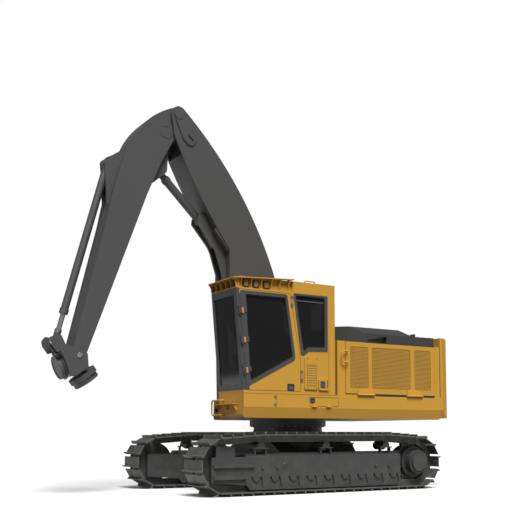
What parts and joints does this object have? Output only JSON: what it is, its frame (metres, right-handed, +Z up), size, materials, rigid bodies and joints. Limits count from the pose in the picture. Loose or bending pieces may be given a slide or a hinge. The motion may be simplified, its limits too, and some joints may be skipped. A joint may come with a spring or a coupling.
{
  "type": "tracked forestry harvester carrier",
  "caption": "Tracked forestry harvester carrier with a turning upper body, side cab, folding boom and stick, and a rotator flange for a felling head.",
  "frame": {"origin": "on the ground below the middle of the whole machine's length and width, 0.954 m ahead of the swing axis", "axes": "+X forward along the tracks and the boom, +Y to the machine's left, +Z up"},
  "size_m": [8.0079, 3.45, 7.27],
  "materials": {
    "yellow_paint": "satin paint",
    "boom_grey": "satin paint",
    "frame_grey": "satin paint",
    "dark_steel": "dark bare steel",
    "black_paint": "satin black paint",
    "track_steel": "worn steel",
    "chrome_rod": "hard chrome",
    "tinted_glass": "tinted safety glass",
    "seat_cloth": "woven seat cloth",
    "grey_plastic": "grained plastic"
  },
  "bodies": {
    "undercarriage": {"carbody": "frame_grey", "swing_bearing": "frame_grey", "track_frame_left": "frame_grey", "track_frame_right": "frame_grey", "track_left": "track_steel", "track_right": "track_steel", "idler_left": "frame_grey", "idler_right": "frame_grey", "final_drive_left": "frame_grey", "final_drive_right": "frame_grey"},
    "upperstructure": {"turntable": "frame_grey", "main_deck": "frame_grey", "skirt_left": "yellow_paint", "skirt_right": "yellow_paint", "cab_shell": "yellow_paint", "cab_glass": "tinted_glass", "visor": "yellow_paint", "seat": "seat_cloth", "consoles": "grey_plastic", "engine_house": "yellow_paint", "engine_block": "dark_steel", "hood": "black_paint", "counterweight": "yellow_paint", "cab_front_frame": "boom_grey", "window_frames": "boom_grey", "work_lamps": "dark_steel", "vent_cover": "yellow_paint", "roof_handle": "yellow_paint", "front_rail": "yellow_paint"},
    "cab_door": {"cab_door": "yellow_paint", "door_glass": "tinted_glass", "door_frame": "boom_grey"},
    "skirt_hatch": {"skirt_hatch": "yellow_paint"},
    "engine_door_left": {"engine_door_left": "yellow_paint"},
    "engine_door_right": {"engine_door_right": "yellow_paint"},
    "boom": {"boom": "boom_grey"},
    "stick": {"stick": "boom_grey"},
    "yoke": {"yoke": "boom_grey", "yoke_flange": "dark_steel"},
    "rotator": {"rotator": "dark_steel"},
    "hoist_barrels": {"hoist_barrels": "boom_grey"},
    "hoist_rods": {"hoist_rods": "chrome_rod"},
    "stick_barrel": {"stick_barrel": "boom_grey"},
    "stick_rod": {"stick_rod": "chrome_rod"},
    "tool_barrel": {"tool_barrel": "boom_grey"},
    "tool_rod": {"tool_rod": "chrome_rod"}
  },
  "joints": [
    {"name": "swing", "type": "hinge", "parent": "undercarriage", "child": "upperstructure", "pos_m": [-0.95397, 0, 1.36], "axis": [0, 0, 1], "continuous": true},
    {"name": "boom_lift", "type": "hinge", "parent": "upperstructure", "child": "boom", "pos_m": [-0.55397, 0, 2.05], "axis": [0, -1, 0], "range_deg": [-50, 6]},
    {"name": "stick_fold", "type": "hinge", "parent": "boom", "child": "stick", "pos_m": [1.67603, 0, 7.11], "axis": [0, 1, 0], "range_deg": [-44, 3]},
    {"name": "yoke_tilt", "type": "hinge", "parent": "stick", "child": "yoke", "pos_m": [3.49603, 0, 2.44], "axis": [0, 1, 0], "range_deg": [-15, 55]},
    {"name": "rotator_spin", "type": "hinge", "parent": "yoke", "child": "rotator", "pos_m": [3.36603, 0, 2.135], "axis": [-0.6018, 0, -0.7986], "continuous": true},
    {"name": "cab_door_hinge", "type": "hinge", "parent": "upperstructure", "child": "cab_door", "pos_m": [0.90603, 1.58, 1.79], "axis": [-0.0905, 0, -0.9959], "range_deg": [0, 95]},
    {"name": "hatch_hinge", "type": "hinge", "parent": "upperstructure", "child": "skirt_hatch", "pos_m": [-0.78397, 1.567, 1.573], "axis": [-1, 0, 0], "range_deg": [0, 100]},
    {"name": "engine_door_left_hinge", "type": "hinge", "parent": "upperstructure", "child": "engine_door_left", "pos_m": [-2.40397, 1.572, 1.82], "axis": [-1, 0, 0], "range_deg": [0, 90]},
    {"name": "engine_door_right_hinge", "type": "hinge", "parent": "upperstructure", "child": "engine_door_right", "pos_m": [-2.40397, -1.572, 1.82], "axis": [1, 0, 0], "range_deg": [0, 90]},
    {"name": "hoist_pivot", "type": "hinge", "parent": "upperstructure", "child": "hoist_barrels", "pos_m": [0.34603, 0, 1.64], "axis": [0, 1, 0], "range_deg": [-5.83, 48.21]},
    {"name": "hoist_stroke", "type": "slide", "parent": "hoist_barrels", "child": "hoist_rods", "axis": [0.026, 0, 0.9997], "range_m": [-0.8408, 0.1018]},
    {"name": "stick_cylinder_pivot", "type": "hinge", "parent": "boom", "child": "stick_barrel", "pos_m": [1.07603, 0, 5.185], "axis": [0, 1, 0], "range_deg": [-0.51, 6.75]},
    {"name": "stick_cylinder_stroke", "type": "slide", "parent": "stick_barrel", "child": "stick_rod", "axis": [0.7175, 0, 0.6966], "range_m": [-0.0575, 0.8291]},
    {"name": "tool_cylinder_pivot", "type": "hinge", "parent": "stick", "child": "tool_barrel", "pos_m": [2.97603, 0, 5.98], "axis": [0, 1, 0], "range_deg": [-0.115, 0.068]},
    {"name": "tool_cylinder_stroke", "type": "slide", "parent": "tool_barrel", "child": "tool_rod", "axis": [0.2557, 0, -0.9668], "range_m": [-0.1103, 0.4017]}
  ],
  "couplings": [
    {"joint": "hoist_pivot", "follows": "boom_lift", "ratio": -0.96327},
    {"joint": "hoist_stroke", "follows": "boom_lift", "m_per_rad": 0.96239},
    {"joint": "stick_cylinder_pivot", "follows": "stick_fold", "ratio": -0.1522},
    {"joint": "stick_cylinder_stroke", "follows": "stick_fold", "m_per_rad": -1.0784},
    {"joint": "tool_cylinder_pivot", "follows": "yoke_tilt", "ratio": -0.00118},
    {"joint": "tool_cylinder_stroke", "follows": "yoke_tilt", "m_per_rad": 0.41742}
  ]
}
